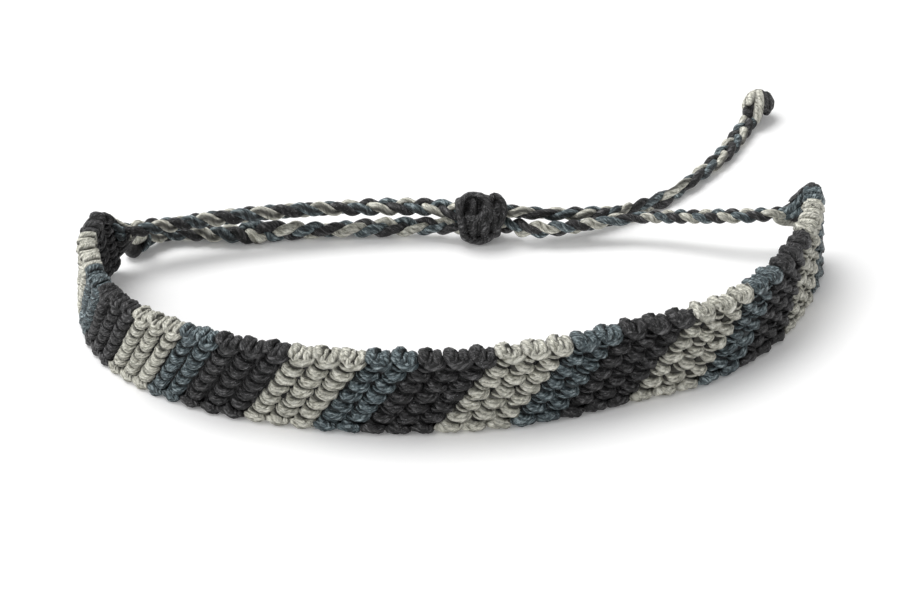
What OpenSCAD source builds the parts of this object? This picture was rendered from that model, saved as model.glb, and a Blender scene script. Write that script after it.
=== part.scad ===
// Friendship bracelet of knotted cord, standing on the lower edge of its band.
// Seen from the front the band bows towards -Y and its two ties are plaited and
// held by a sliding knot at the back. The loop's box is centred on the origin.

/* [Loop] */
// Width of the loop, over the outsides of the band
loop_w = 88; // [76:1:104]
// Depth of the loop, from the front of the band to the middle of the sliding knot
loop_d = 41; // [36:1:50]

/* [Band] */
// Height of the knotted band
band_h = 10; // [8:0.5:13]
// Thickness of the band over its knots
band_t = 2; // [1.6:0.1:2.6]
// Number of slanting rows of knots
row_count = 50; // [36:1:56]
// Depth of the valleys between the rows, on each face
row_relief = 0.22; // [0.1:0.02:0.4]
// How far the loops at the two edges stand past the valleys
edge_scallop = 0.3; // [0.1:0.05:0.5]
// How far a row at the middle of the band runs along it from the lower to the upper edge
row_slant = 7; // [4:0.25:8]
// How far the upper edge leans inwards over the lower one
band_lean = 1.2; // [0:0.1:1.6]
// Length over which each end of the band is gathered into its tie
gather_len = 5; // [4:0.5:7]
// Height of the gathered end where the tie begins
gather_h = 2.6; // [2:0.1:4]

/* [Ties] */
// Thickness of one strand of the plaited ties
strand_d = 0.56; // [0.4:0.02:0.6]
// Width of a plait, across its flat side
plait_w = 1.94; // [1.9:0.02:2.3]
// Thickness of a plait
plait_t = 1.44; // [1.42:0.02:1.8]
// Length of one full round of the plait
plait_pitch = 6.8; // [6:0.2:9]
// Gap between an end of a tie and the band or knot that it runs into
tie_gap = 0.35; // [0.3:0.05:0.6]
// Gap between one piece and the next
fit_gap = 0.1; // [0.05:0.01:0.2]

/* [Sliding knot] */
// Length of the sliding knot along the ties
slider_l = 5.8; // [4:0.2:8]
// Thickness of the sliding knot's wall above and below the ties
slider_wall = 0.9; // [0.6:0.05:1.2]
// Depth of the sliding knot, from front to back
slider_depth = 4.2; // [3.4:0.1:5]
// Number of turns of cord round the ties
slider_turns = 5; // [3:1:7]
// Depth of the grooves between those turns
slider_groove = 0.25; // [0.1:0.05:0.35]

/* [Tail knots] */
// Diameter of the knot at the end of each tie
knot_d = 4.1; // [3:0.1:5]
// Length of the knot at the end of the left tie
left_knot_l = 5.4; // [4:0.1:6.4]
// Length of the knot at the end of the right tie
right_knot_l = 3.6; // [3:0.1:4.6]

/* [Hidden] */

black = "#35363b";
grey = "#bfbbaf";
blue = "#566570";

half_w = loop_w / 2;
mid_z = band_h / 2;

// The band's middle line seen from above, from its left end round the front to its
// right end: x as a share of half_w, y as a share of loop_d.
band_line = [
    [-0.864, 0.229], [-0.902, 0.2], [-0.939, 0.127], [-0.95, 0.015], [-0.914, -0.146],
    [-0.845, -0.283], [-0.736, -0.4], [-0.586, -0.498], [-0.414, -0.566], [-0.232, -0.61],
    [-0.045, -0.624], [0.127, -0.61], [0.286, -0.571], [0.445, -0.51], [0.591, -0.456],
    [0.709, -0.373], [0.839, -0.22], [0.923, -0.054], [0.966, 0.078], [0.976, 0.151],
    [0.959, 0.202], [0.907, 0.22]];

// Where the rows of knots stand: share of row_count, share of the band's length,
// share of row_slant, share of band_lean.
row_places = [
    [0, 0, 0, 0.3], [0.06, 0.056, 0.5, 1], [0.12, 0.113, 0.74, 1], [0.32, 0.284, 0.76, 0.5],
    [0.54, 0.513, 1.02, 0.25], [0.76, 0.747, 1.18, 0.4], [0.9, 0.899, 1.18, 0.7],
    [0.96, 0.964, 0.6, 0.6], [1, 1, 0, 0.3]];

// How an end opens out from its tie: share of gather_len, share of the way from
// gather_h to band_h, share of band_t.
gather_shape = [[0, 0, 0.8], [0.25, 0.3, 0.9], [0.5, 0.62, 1], [0.8, 0.93, 1], [1, 1, 1]];

// The band's section: share of the height, share of half the thickness, outer face positive.
band_section = [
    [0, 0.45], [0.04, 0.85], [0.2, 1], [0.5, 1], [0.8, 1], [0.96, 0.85], [1, 0.45],
    [1, -0.45], [0.96, -0.85], [0.8, -1], [0.5, -1], [0.2, -1], [0.04, -0.85], [0, -0.45]];

// Each tie starts past an end of the band and runs through these points: x as a share of
// half_w, y as a share of loop_d, the share of the way up, and the turn of its flat side
// away from upright in degrees.
// From the band to the sliding knot the way up ends at mid_z, and past it the way
// goes from the sliding knot down to the surface.
left_held = [
    [-0.807, 0.263, 0.85, 15], [-0.728, 0.285, 0.6, 30],
    [-0.634, 0.31, 0.55, 30], [-0.54, 0.327, 0.55, 30], [-0.404, 0.346, 0.5, 30],
    [-0.253, 0.355, 0.4, 25], [-0.116, 0.358, 0.25, 20], [-0.019, 0.35, 0.1, 8]];
left_free = [
    [0.199, 0.326, 0.9, 10], [0.282, 0.335, 0.7, 20], [0.38, 0.36, 0.45, 40],
    [0.466, 0.399, 0.2, 60], [0.554, 0.452, 0.05, 80], [0.637, 0.522, 0, 85],
    [0.729, 0.644, 0, 80], [0.805, 0.752, 0, 75], [0.862, 0.866, 0, 75],
    [0.891, 0.93, 0, 75], [0.912, 0.97, 0.1, 75]];
right_held = [
    [0.843, 0.221, 0.94, 80], [0.764, 0.234, 0.83, 90],
    [0.672, 0.26, 0.65, 90], [0.567, 0.29, 0.45, 80], [0.472, 0.302, 0.3, 55],
    [0.39, 0.298, 0.15, 30], [0.313, 0.292, 0.05, 15], [0.225, 0.297, 0, 5]];
right_free = [
    [-0.035, 0.347, 0.65, 10], [-0.118, 0.363, 0.25, 20], [-0.243, 0.37, 0, 30],
    [-0.381, 0.362, 0, 35], [-0.52, 0.362, 0, 35], [-0.645, 0.367, 0, 35],
    [-0.729, 0.373, 0, 35], [-0.775, 0.368, 0.1, 35], [-0.81, 0.345, 0.3, 30]];

slider_x = 0.09 * half_w;
slider_y = 0.332 * loop_d;

row_steps = 4;
line_steps = 8;
strand_sides = 6;
strand_steps = 9;
slider_sides = 20;
knot_sides = 14;
knot_rings = 9;

// Points between b and c on the smooth line through a, b, c and d
function between(a, b, c, d, t) =
    (2 * b + (c - a) * t + (2 * a - 5 * b + 4 * c - d) * t * t
        + (3 * b - a - 3 * c + d) * t * t * t) / 2;

function smooth_line(p) = [
    for (i = [0 : len(p) - 2], k = [0 : line_steps - 1])
        between(i > 0 ? p[i - 1] : 2 * p[0] - p[1], p[i], p[i + 1],
            i < len(p) - 2 ? p[i + 2] : 2 * p[i + 1] - p[i], k / line_steps),
    p[len(p) - 1]];

// Distance along a line at each of its points
function run_along(p) = [
    for (i = 0, run = 0; i < len(p);
        run = run + (i + 1 < len(p) ? norm(p[i + 1] - p[i]) : 0), i = i + 1) run];

function column_of(runs, p, k) = [for (i = [0 : len(p) - 1]) [runs[i], p[i][k]]];

function unit(v) = v / norm(v);

// Triangles that join rings of the same number of points and close both ends
function tube_faces(rings, sides) = concat(
    [for (i = [0 : rings - 2], j = [0 : sides - 1])
        [i * sides + j, i * sides + (j + 1) % sides, (i + 1) * sides + (j + 1) % sides]],
    [for (i = [0 : rings - 2], j = [0 : sides - 1])
        [i * sides + j, (i + 1) * sides + (j + 1) % sides, (i + 1) * sides + j]],
    [for (j = [1 : sides - 2]) [0, j + 1, j]],
    [for (j = [1 : sides - 2])
        [(rings - 1) * sides, (rings - 1) * sides + j, (rings - 1) * sides + j + 1]]);

// Band
band_points = smooth_line([for (p = band_line) [p[0] * half_w, p[1] * loop_d]]);
band_runs = run_along(band_points);
band_length = band_runs[len(band_runs) - 1];
band_x = column_of(band_runs, band_points, 0);
band_y = column_of(band_runs, band_points, 1);

function band_at(s) = [lookup(s, band_x), lookup(s, band_y)];

// Unit vector that points into the loop, square to the band
function band_inward(s) =
    let (reach = band_t / 2, d = unit(band_at(s + reach) - band_at(s - reach))) [-d[1], d[0]];

function row_value(share, k) = lookup(share, [for (r = row_places) [r[0], r[k]]]);

function gather_value(s, k) =
    lookup(min(s, band_length - s) / gather_len, [for (g = gather_shape) [g[0], g[k]]]);

// How far a point of a row stands up out of the valleys, from 0 to 1
function ridge(step) = sin(180 * (step % row_steps) / row_steps);

function band_ring(step) =
    let (
        share = step / (row_steps * row_count),
        sunk = 1 - ridge(step),
        slant = row_slant * row_value(share, 2),
        lean = band_lean * row_value(share, 3))
    [for (q = band_section)
        let (
            up = q[0] - 0.5,
            s = band_length * row_value(share, 1) + up * slant,
            high = gather_h + (band_h - gather_h) * gather_value(s, 1),
            half_t = band_t / 2 * gather_value(s, 2) - row_relief * sunk,
            place = band_at(s) + band_inward(s) * (lean * up * high / band_h - q[1] * half_t))
        [place[0], place[1], mid_z + up * (high - 2 * edge_scallop * sunk)]];

band_rings = [for (step = [0 : row_steps * row_count]) band_ring(step)];

// Ties
swing_w = (plait_w - strand_d) / 2;
swing_t = (plait_t - strand_d) / 2;
slider_low = slider_wall + fit_gap + plait_w / 2;
slider_high = slider_low + plait_w + fit_gap;

// Height of a plait's middle when it lies on the surface, its flat side turned by turn
function lying_z(turn) = fit_gap / 2 + strand_d / 2 + swing_w * cos(turn) + swing_t * sin(turn);

function held_points(rows, knot_z) = [
    for (r = rows)
        [r[0] * half_w, r[1] * loop_d, knot_z + r[2] * (mid_z - knot_z), r[3]]];

function free_points(rows, knot_z) = [
    for (r = rows)
        let (low = lying_z(r[3])) [r[0] * half_w, r[1] * loop_d, low + r[2] * (knot_z - low), r[3]]];

// A tie passes straight through the sliding knot, whose way in is at side -1 or 1
function slider_points(knot_z, side) = [
    for (k = [side, 0, -side]) [slider_x + k * slider_l / 2, slider_y, knot_z, 0]];

// The first point of a tie, just past an end of the band
function tie_start(end, before, turn) =
    let (p = end + unit(end - before) * tie_gap) [[p[0], p[1], mid_z, turn]];

last_point = len(band_points) - 1;
left_route = concat(tie_start(band_points[0], band_points[1], 0),
    held_points(left_held, slider_high), slider_points(slider_high, -1),
    free_points(left_free, slider_high));
right_route = concat(tie_start(band_points[last_point], band_points[last_point - 1], 60),
    held_points(right_held, slider_low), slider_points(slider_low, 1),
    free_points(right_free, slider_low));

function place_of(p) = [p[0], p[1], p[2]];

// Rings of one strand, whose place in the plait is given by its start angle
function strand_rings(route, start) =
    let (
        line = smooth_line(route),
        runs = run_along([for (p = line) place_of(p)]),
        xs = column_of(runs, line, 0),
        ys = column_of(runs, line, 1),
        zs = column_of(runs, line, 2),
        turns = column_of(runs, line, 3),
        whole = runs[len(runs) - 1],
        rings = round(whole / plait_pitch * strand_steps),
        reach = plait_w / 2,
        middle = [
            for (i = [0 : rings])
                let (
                    s = whole * i / rings,
                    here = [lookup(s, xs), lookup(s, ys), lookup(s, zs)],
                    ahead = [lookup(s + reach, xs), lookup(s + reach, ys), lookup(s + reach, zs)],
                    behind = [lookup(s - reach, xs), lookup(s - reach, ys), lookup(s - reach, zs)],
                    along = unit(ahead - behind),
                    across = unit(cross([0, 0, 1], along)),
                    upright = cross(along, across),
                    turn = lookup(s, turns),
                    wide = upright * cos(turn) + across * sin(turn),
                    thick = cross(along, wide),
                    angle = start + 360 * s / plait_pitch)
                here + wide * swing_w * sin(angle) + thick * swing_t * sin(2 * angle)])
    [for (i = [0 : rings])
        let (
            along = unit(middle[min(i + 1, rings)] - middle[max(i - 1, 0)]),
            across = unit(cross([0, 0, 1], along)),
            upright = cross(along, across))
        [for (j = [0 : strand_sides - 1])
            middle[i] + (across * cos(360 * j / strand_sides)
                + upright * sin(360 * j / strand_sides)) * strand_d / 2]];

// Box of the whole bracelet, whose middle is the origin
left_end = left_route[len(left_route) - 1];
right_end = right_route[len(right_route) - 1];
left_end_before = left_route[len(left_route) - 2];
right_end_before = right_route[len(right_route) - 2];

// Middle of the knot at the end of a tie, just past the last point of its route
function knot_middle(end, before, length) =
    let (d = unit([end[0] - before[0], end[1] - before[1]]) * (length / 2 + tie_gap))
    [end[0] + d[0], end[1] + d[1], knot_d / 2];

left_knot = knot_middle(left_end, left_end_before, left_knot_l);
right_knot = knot_middle(right_end, right_end_before, right_knot_l);
band_xs = [for (ring = band_rings, p = ring) p[0]];
band_ys = [for (ring = band_rings, p = ring) p[1]];
centre_x = (min(band_xs) + max(band_xs)) / 2;
centre_y = (min(band_ys) + left_knot[1] + left_knot_l / 2) / 2;

module sweep(rings) {
    polyhedron([for (ring = rings, p = ring) [p[0] - centre_x, p[1] - centre_y, p[2]]],
        tube_faces(len(rings), len(rings[0])));
}

module band() {
    color(grey) sweep(band_rings);
}

module strand(route, start, shade) {
    color(shade) sweep(strand_rings(route, start));
}

// Lumpy outline of a knot, as a share of its full radius at a share of its length
function knot_round(share, angle) =
    sin(180 * (0.13 + 0.74 * share)) * (0.93 + 0.07 * cos(3 * angle + 200 * share));

module tail_knot(middle, before, length, shade) {
    along = unit([middle[0] - before[0], middle[1] - before[1], 0]);
    across = [-along[1], along[0], 0];
    color(shade) sweep([
        for (i = [0 : knot_rings - 1])
            let (share = i / (knot_rings - 1))
            [for (j = [0 : knot_sides - 1])
                let (angle = 360 * j / knot_sides, r = knot_d / 2 * knot_round(share, angle))
                middle + along * (share - 0.5) * length
                    + across * r * cos(angle) + [0, 0, r * sin(angle)]]]);
}

// Rounded oblong of the sliding knot, as a point at an angle
function oblong(half_y, half_z, angle, squareness) =
    let (
        c = cos(angle),
        s = sin(angle),
        k = pow(pow(abs(c), squareness) + pow(abs(s), squareness), -1 / squareness))
    [half_y * c * k, half_z * s * k];

slot_y = plait_t / 2 + 1.5 * fit_gap;
slot_z = plait_w + 1.5 * fit_gap;
slider_z = (slider_low + slider_high) / 2;
slider_half_z = slot_z + slider_wall;
turn_steps = 3;

module sliding_knot() {
    stations = slider_turns * turn_steps;
    n = slider_sides;
    outer = [
        for (i = [0 : stations])
            let (
                x = slider_x + slider_l * (i / stations - 0.5),
                sunk = slider_groove * (1 - sin(180 * (i % turn_steps) / turn_steps)),
                end = (i == 0 || i == stations) ? slider_groove : 0)
            [for (j = [0 : n - 1])
                let (p = oblong(slider_depth / 2 - sunk - end, slider_half_z - sunk - end / 2,
                    360 * j / n, 3))
                [x, slider_y + p[0], slider_half_z + p[1]]]];
    inner = [
        for (i = [0, stations])
            [for (j = [0 : n - 1])
                let (p = oblong(slot_y, slot_z, 360 * j / n, 8))
                [slider_x + slider_l * (i / stations - 0.5), slider_y + p[0], slider_z + p[1]]]];
    points = [for (ring = concat(outer, inner), p = ring) p - [centre_x, centre_y, 0]];
    last = stations * n;
    near = (stations + 1) * n;
    far = near + n;
    skin = [
        for (i = [0 : stations - 1], j = [0 : n - 1], half = [0, 1])
            half == 0
                ? [i * n + j, (i + 1) * n + (j + 1) % n, i * n + (j + 1) % n]
                : [i * n + j, (i + 1) * n + j, (i + 1) * n + (j + 1) % n]];
    slot = [
        for (j = [0 : n - 1], half = [0, 1])
            half == 0
                ? [near + j, near + (j + 1) % n, far + (j + 1) % n]
                : [near + j, far + (j + 1) % n, far + j]];
    left_face = [
        for (j = [0 : n - 1], half = [0, 1])
            half == 0
                ? [j, (j + 1) % n, near + (j + 1) % n]
                : [j, near + (j + 1) % n, near + j]];
    right_face = [
        for (j = [0 : n - 1], half = [0, 1])
            half == 0
                ? [last + j, far + (j + 1) % n, last + (j + 1) % n]
                : [last + j, far + j, far + (j + 1) % n]];
    color(black) polyhedron(points, concat(skin, slot, left_face, right_face));
}

band();
strand(left_route, 0, black);  // left_tie_black
strand(left_route, 120, grey);  // left_tie_grey
strand(left_route, 240, blue);  // left_tie_blue
strand(right_route, 0, black);  // right_tie_black
strand(right_route, 120, grey);  // right_tie_grey
strand(right_route, 240, blue);  // right_tie_blue
sliding_knot();
tail_knot(left_knot, left_end, left_knot_l, grey);  // left_tail_knot
tail_knot(right_knot, right_end, right_knot_l, black);  // right_tail_knot
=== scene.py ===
import math
import random

import bmesh
import bpy
from mathutils import Matrix, Vector, noise


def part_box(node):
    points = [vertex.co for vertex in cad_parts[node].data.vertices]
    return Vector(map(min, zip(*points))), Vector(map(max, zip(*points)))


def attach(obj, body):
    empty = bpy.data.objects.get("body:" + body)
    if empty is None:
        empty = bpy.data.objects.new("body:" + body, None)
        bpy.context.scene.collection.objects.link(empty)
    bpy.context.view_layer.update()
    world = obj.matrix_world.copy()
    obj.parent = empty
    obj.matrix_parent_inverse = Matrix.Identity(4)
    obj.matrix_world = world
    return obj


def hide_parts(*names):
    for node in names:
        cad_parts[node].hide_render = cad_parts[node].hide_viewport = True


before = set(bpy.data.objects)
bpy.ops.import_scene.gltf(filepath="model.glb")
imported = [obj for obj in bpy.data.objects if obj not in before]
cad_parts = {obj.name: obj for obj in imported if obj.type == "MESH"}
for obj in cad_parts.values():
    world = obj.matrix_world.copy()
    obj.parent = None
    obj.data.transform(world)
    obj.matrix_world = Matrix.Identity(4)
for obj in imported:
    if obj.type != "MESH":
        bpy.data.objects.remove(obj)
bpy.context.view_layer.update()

MM = 0.001
TURN = 2 * math.pi
ALONG_X = Vector((1, 0, 0))
UP = Vector((0, 0, 1))

# Sizes of the bracelet in millimetres, as in its CAD source
HALF_W = 44.0
LOOP_D = 41.0
BAND_H = 10.0
BAND_T = 2.0
ROWS = 50
ROW_SLANT = 7.0
BAND_LEAN = 1.2
GATHER_LEN = 5.0
GATHER_H = 2.6
PLAIT_W = 1.94
PLAIT_T = 1.44
STRAND_D = 0.56
TIE_GAP = 0.35
FIT_GAP = 0.1
SLIDER_L = 5.8
SLIDER_WALL = 0.9
SLIDER_DEPTH = 4.2
KNOT_D = 4.1
LEFT_KNOT_L = 5.4
RIGHT_KNOT_L = 3.6
MID_Z = BAND_H / 2
SLIDER_X = 0.09 * HALF_W
SLIDER_Y = 0.332 * LOOP_D
SLIDER_LOW = SLIDER_WALL + FIT_GAP + PLAIT_W / 2
SLIDER_HIGH = SLIDER_LOW + PLAIT_W + FIT_GAP
KNOTS_IN_ROW = 7

# The CAD source centres the bracelet's box, which moves the sliding knot by this much
slider_low_corner, slider_high_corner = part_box("sliding_knot")
CENTRE_X = SLIDER_X - (slider_low_corner[0] + slider_high_corner[0]) / 2 / MM
CENTRE_Y = SLIDER_Y - (slider_low_corner[1] + slider_high_corner[1]) / 2 / MM
CENTRE = Vector((CENTRE_X, CENTRE_Y, 0))

# The band's middle line: x as a share of HALF_W, y as a share of LOOP_D
BAND_LINE = [
    (-0.864, 0.229), (-0.902, 0.2), (-0.939, 0.127), (-0.95, 0.015), (-0.914, -0.146),
    (-0.845, -0.283), (-0.736, -0.4), (-0.586, -0.498), (-0.414, -0.566), (-0.232, -0.61),
    (-0.045, -0.624), (0.127, -0.61), (0.286, -0.571), (0.445, -0.51), (0.591, -0.456),
    (0.709, -0.373), (0.839, -0.22), (0.923, -0.054), (0.966, 0.078), (0.976, 0.151),
    (0.959, 0.202), (0.907, 0.22)]

# Share of ROWS, share of the band's length, share of ROW_SLANT, share of BAND_LEAN
ALONG_SHARE, SLANT_SHARE, LEAN_SHARE = 1, 2, 3
ROW_PLACES = [
    (0, 0, 0, 0.3), (0.06, 0.056, 0.5, 1), (0.12, 0.113, 0.74, 1), (0.32, 0.284, 0.76, 0.5),
    (0.54, 0.513, 1.02, 0.25), (0.76, 0.747, 1.18, 0.4), (0.9, 0.899, 1.18, 0.7),
    (0.96, 0.964, 0.6, 0.6), (1, 1, 0, 0.3)]

# Share of GATHER_LEN, share of the way from GATHER_H to BAND_H, share of BAND_T, rise of the
# middle in millimetres. The left end is blunt and low, the right end slender and high.
HIGH_SHARE, THICK_SHARE, MID_RISE = 1, 2, 3
LEFT_GATHER = [
    (0, 0.24, 0.8, -1.5), (0.25, 0.46, 0.9, -0.9), (0.5, 0.72, 1, -0.3), (0.8, 0.95, 1, 0),
    (1, 1, 1, 0)]
RIGHT_GATHER = [
    (0, -0.06, 0.7, 0.3), (0.25, 0.02, 0.8, 1.5), (0.5, 0.25, 0.95, 2.2), (0.8, 0.75, 1, 1),
    (1, 1, 1, 0)]
# The band's knots stop this far from the start of the left tie and of the right one, and the
# rows within STOP_LEN of an end make room for that
LEFT_STOP = 1.6
RIGHT_STOP = 2.4
STOP_LEN = 8.0

# Points of the ties: x as a share of HALF_W, y as a share of LOOP_D, share of the way up,
# turn of the flat side away from upright in degrees
LEFT_HELD = [
    (-0.807, 0.263, 0.85, 15), (-0.728, 0.285, 0.6, 30), (-0.634, 0.31, 0.55, 30),
    (-0.54, 0.327, 0.55, 30), (-0.404, 0.346, 0.5, 30), (-0.253, 0.355, 0.4, 25),
    (-0.116, 0.358, 0.25, 20), (-0.019, 0.35, 0.1, 8)]
LEFT_FREE = [
    (0.199, 0.326, 0.9, 10), (0.282, 0.335, 0.7, 20), (0.38, 0.36, 0.45, 40),
    (0.466, 0.399, 0.2, 60), (0.554, 0.452, 0.05, 80), (0.637, 0.522, 0, 85),
    (0.729, 0.644, 0, 80), (0.805, 0.752, 0, 75), (0.862, 0.866, 0, 75),
    (0.891, 0.93, 0, 75), (0.912, 0.97, 0.1, 75)]
RIGHT_HELD = [
    (0.843, 0.221, 0.94, 80), (0.764, 0.234, 0.83, 90), (0.672, 0.26, 0.65, 90),
    (0.567, 0.29, 0.45, 80), (0.472, 0.302, 0.3, 55), (0.39, 0.298, 0.15, 30),
    (0.313, 0.292, 0.05, 15), (0.225, 0.297, 0, 5)]
RIGHT_FREE = [
    (-0.035, 0.347, 0.65, 10), (-0.118, 0.363, 0.25, 20), (-0.243, 0.37, 0, 30),
    (-0.381, 0.362, 0, 35), (-0.52, 0.362, 0, 35), (-0.645, 0.367, 0, 35),
    (-0.729, 0.373, 0, 35), (-0.775, 0.368, 0.1, 35), (-0.81, 0.345, 0.3, 30)]

# Camera
CAMERA_REACH = 250.0
CAMERA_RISE = math.radians(32.5)
CAMERA_ROLL = math.radians(-1.8)
LENS = 86.0

forward = Vector((0, math.cos(CAMERA_RISE), -math.sin(CAMERA_RISE)))
level_right = Vector((1, 0, 0))
level_up = level_right.cross(forward)
cos_roll, sin_roll = math.cos(CAMERA_ROLL), math.sin(CAMERA_ROLL)
camera_right = level_right * cos_roll + level_up * sin_roll
camera_up = level_up * cos_roll - level_right * sin_roll
camera_data = bpy.data.cameras.new("camera")
camera_data.lens = LENS
camera_data.sensor_width = 36.0
camera_data.clip_start = 0.01
camera_data.clip_end = 10.0
camera = bpy.data.objects.new("camera", camera_data)
bpy.context.scene.collection.objects.link(camera)
camera_place = (forward * -CAMERA_REACH - CENTRE) * MM
camera.matrix_world = Matrix.Translation(camera_place) @ Matrix(
    (camera_right, camera_up, -forward)).transposed().to_4x4()
bpy.context.scene.camera = camera


# Lines
def lookup(value, table, column):
    """Straight-line value of a column of a table whose first column rises."""
    if value <= table[0][0]:
        return table[0][column]
    for low, high in zip(table, table[1:]):
        if value <= high[0]:
            share = (value - low[0]) / (high[0] - low[0])
            return low[column] + (high[column] - low[column]) * share
    return table[-1][column]


def smooth_points(points, steps):
    """Points on the smooth line through the given ones."""
    ends = [2 * points[0] - points[1], *points, 2 * points[-1] - points[-2]]
    line = []
    for a, b, c, d in zip(ends, ends[1:], ends[2:], ends[3:]):
        for k in range(steps):
            t = k / steps
            line.append((2 * b + (c - a) * t + (2 * a - 5 * b + 4 * c - d) * t * t
                         + (3 * b - a - 3 * c + d) * t * t * t) / 2)
    line.append(points[-1])
    return line


class Line:
    """A smooth line that is read by the distance along it, and runs on straight past its ends."""

    def __init__(self, points, steps=24, size=3):
        self.points = smooth_points(points, steps)
        self.size = size
        self.runs = [0.0]
        for a, b in zip(self.points, self.points[1:]):
            self.runs.append(self.runs[-1] + (Vector(b[:size]) - Vector(a[:size])).length)
        self.length = self.runs[-1]

    def at(self, s):
        low, high = 0, len(self.runs) - 1
        while high - low > 1:
            mid = (low + high) // 2
            if self.runs[mid] <= s:
                low = mid
            else:
                high = mid
        a, b = self.points[low], self.points[high]
        share = (s - self.runs[low]) / (self.runs[high] - self.runs[low])
        return a + (b - a) * share

    def along(self, s, reach):
        ahead, behind = self.at(s + reach), self.at(s - reach)
        return (Vector(ahead[:self.size]) - Vector(behind[:self.size])).normalized()


band_line = Line([Vector((x * HALF_W - CENTRE_X, y * LOOP_D - CENTRE_Y)) for x, y in BAND_LINE],
                 size=2)
LENGTH = band_line.length


def band_inward(s):
    """The way inwards, square to the band's middle line."""
    d = band_line.along(s, BAND_T / 2)
    return Vector((-d.y, d.x))


def gather(s, column):
    """A number of the table of the nearer end."""
    if s < LENGTH / 2:
        return lookup(s / GATHER_LEN, LEFT_GATHER, column)
    return lookup((LENGTH - s) / GATHER_LEN, RIGHT_GATHER, column)


LEAN_BY_LENGTH = [(row[ALONG_SHARE], row[LEAN_SHARE]) for row in ROW_PLACES]


def on_band(s, height, out):
    """The point of the band at a distance along it, a height in an untapered band,
    and a distance out of its middle towards the outer face."""
    up = height / BAND_H - 0.5
    high = GATHER_H + (BAND_H - GATHER_H) * gather(s, HIGH_SHARE)
    lean = BAND_LEAN * lookup(s / LENGTH, LEAN_BY_LENGTH, 1)
    inwards = lean * up * high / BAND_H - out * gather(s, THICK_SHARE)
    point = band_line.at(s) + band_inward(s) * inwards
    return Vector((point.x, point.y, MID_Z + gather(s, MID_RISE) + up * high))


# Meshes
def grid_template(along, around):
    """A flat sheet of faces whose x and y run from 0 to 1, with the same numbers as its UV map."""
    bm = bmesh.new()
    bm.loops.layers.uv.new("cord")
    bmesh.ops.create_grid(bm, x_segments=along, y_segments=around, size=0.5, calc_uvs=True)
    bmesh.ops.translate(bm, verts=bm.verts, vec=(0.5, 0.5, 0))
    mesh = bpy.data.meshes.new("sheet")
    bm.to_mesh(mesh)
    bm.free()
    return mesh


TEMPLATES = {}
# Hand-tied cord is never quite even: how far its surface wanders, and how quickly
UNEVEN = 0.07
UNEVEN_SCALE = 1.3
# Without a fixed seed it would wander in another way each time
noise.seed_set(7)
# Step in the UV map from one cord to the next, and the share round a cord where its painted
# crease shade is darkest
CORD_STEP = 100.0
PAINTED_SHADE_ROUND = 0.25


class Cords:
    """Cords of one colour, which become one piece. Its UV map runs along each cord in
    millimetres, with CORD_STEP for each new cord, and once round it."""

    def __init__(self, name, shade):
        self.name = name
        self.shade = shade
        self.bm = bmesh.new()
        self.uv = self.bm.loops.layers.uv.new("cord")
        self.count = 0

    def add(self, place, along, around, length, hidden=False):
        """place gives a point for the share along the cord and the share round it. along and
        around count its faces, and length is its length in the UV map. A cord that is shaded all
        round is painted dark all round with the darkest crease shade, as the one that a row is
        knotted over."""
        key = (along, around)
        if key not in TEMPLATES:
            TEMPLATES[key] = grid_template(along, around)
        first_vert = len(self.bm.verts)
        first_face = len(self.bm.faces)
        self.bm.from_mesh(TEMPLATES[key])
        self.bm.verts.ensure_lookup_table()
        self.bm.faces.ensure_lookup_table()
        for index in range(first_face, len(self.bm.faces)):
            for loop in self.bm.faces[index].loops:
                u, v = loop.vert.co.x, loop.vert.co.y
                loop[self.uv].uv = (CORD_STEP * self.count + length * u,
                                    PAINTED_SHADE_ROUND if hidden else v)
        for index in range(first_vert, len(self.bm.verts)):
            vert = self.bm.verts[index]
            point = place(vert.co.x, vert.co.y)
            point += noise.noise_vector(point * UNEVEN_SCALE) * UNEVEN
            # Soft cord lies flat on the floor
            point.z = max(point.z, 0.0)
            vert.co = point * MM
        self.count += 1

    def finish(self, *nodes):
        """Makes the piece, which takes the place of the given parts of the CAD model."""
        material, slot = MATERIALS[self.shade], SLOTS[self.shade]
        bmesh.ops.remove_doubles(self.bm, verts=self.bm.verts, dist=1e-6)
        bmesh.ops.recalc_face_normals(self.bm, faces=self.bm.faces)
        mesh = bpy.data.meshes.new(self.name)
        self.bm.to_mesh(mesh)
        self.bm.free()
        for face in mesh.polygons:
            face.use_smooth = True
        piece = bpy.data.objects.new(self.name, mesh)
        bpy.context.scene.collection.objects.link(piece)
        mesh.materials.append(material)
        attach(piece, "root")
        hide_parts(*nodes)


def round_end(share, blunt):
    """How thick a cord with round ends is at a share of its length. The higher blunt is, the
    shorter is the rounding."""
    return math.sqrt(max(0.0, 1 - abs(2 * share - 1) ** blunt))


def tube(section):
    """A place function for a cord. section gives its middle and its half sizes across and
    outwards at a share of its length."""
    sections = {}

    def place(u, v):
        if u not in sections:
            sections[u] = section(u)
        middle, across, out = sections[u]
        return middle + across * math.sin(TURN * v) + out * math.cos(TURN * v)

    return place


# A short cord's line has this many steps between two of its points, and its direction is taken
# from this far behind to this far ahead
SHAFT_STEPS = 6
SHAFT_REACH = 0.1


def cord_place(points, width, thick, side, spot=None, blunt=6):
    """A place function for a cord through a few points, with round ends. side is the way its
    width runs, and spot carries a point to its place."""
    shaft = Line([Vector(point) for point in points], SHAFT_STEPS)

    def section(u):
        ahead = shaft.along(shaft.length * u, SHAFT_REACH)
        across = (side - ahead * side.dot(ahead)).normalized()
        swell = round_end(u, blunt)
        return (shaft.at(shaft.length * u), across * width * swell,
                ahead.cross(across) * -thick * swell)

    place = tube(section)
    return (lambda u, v: spot(place(u, v))) if spot else place


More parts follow.
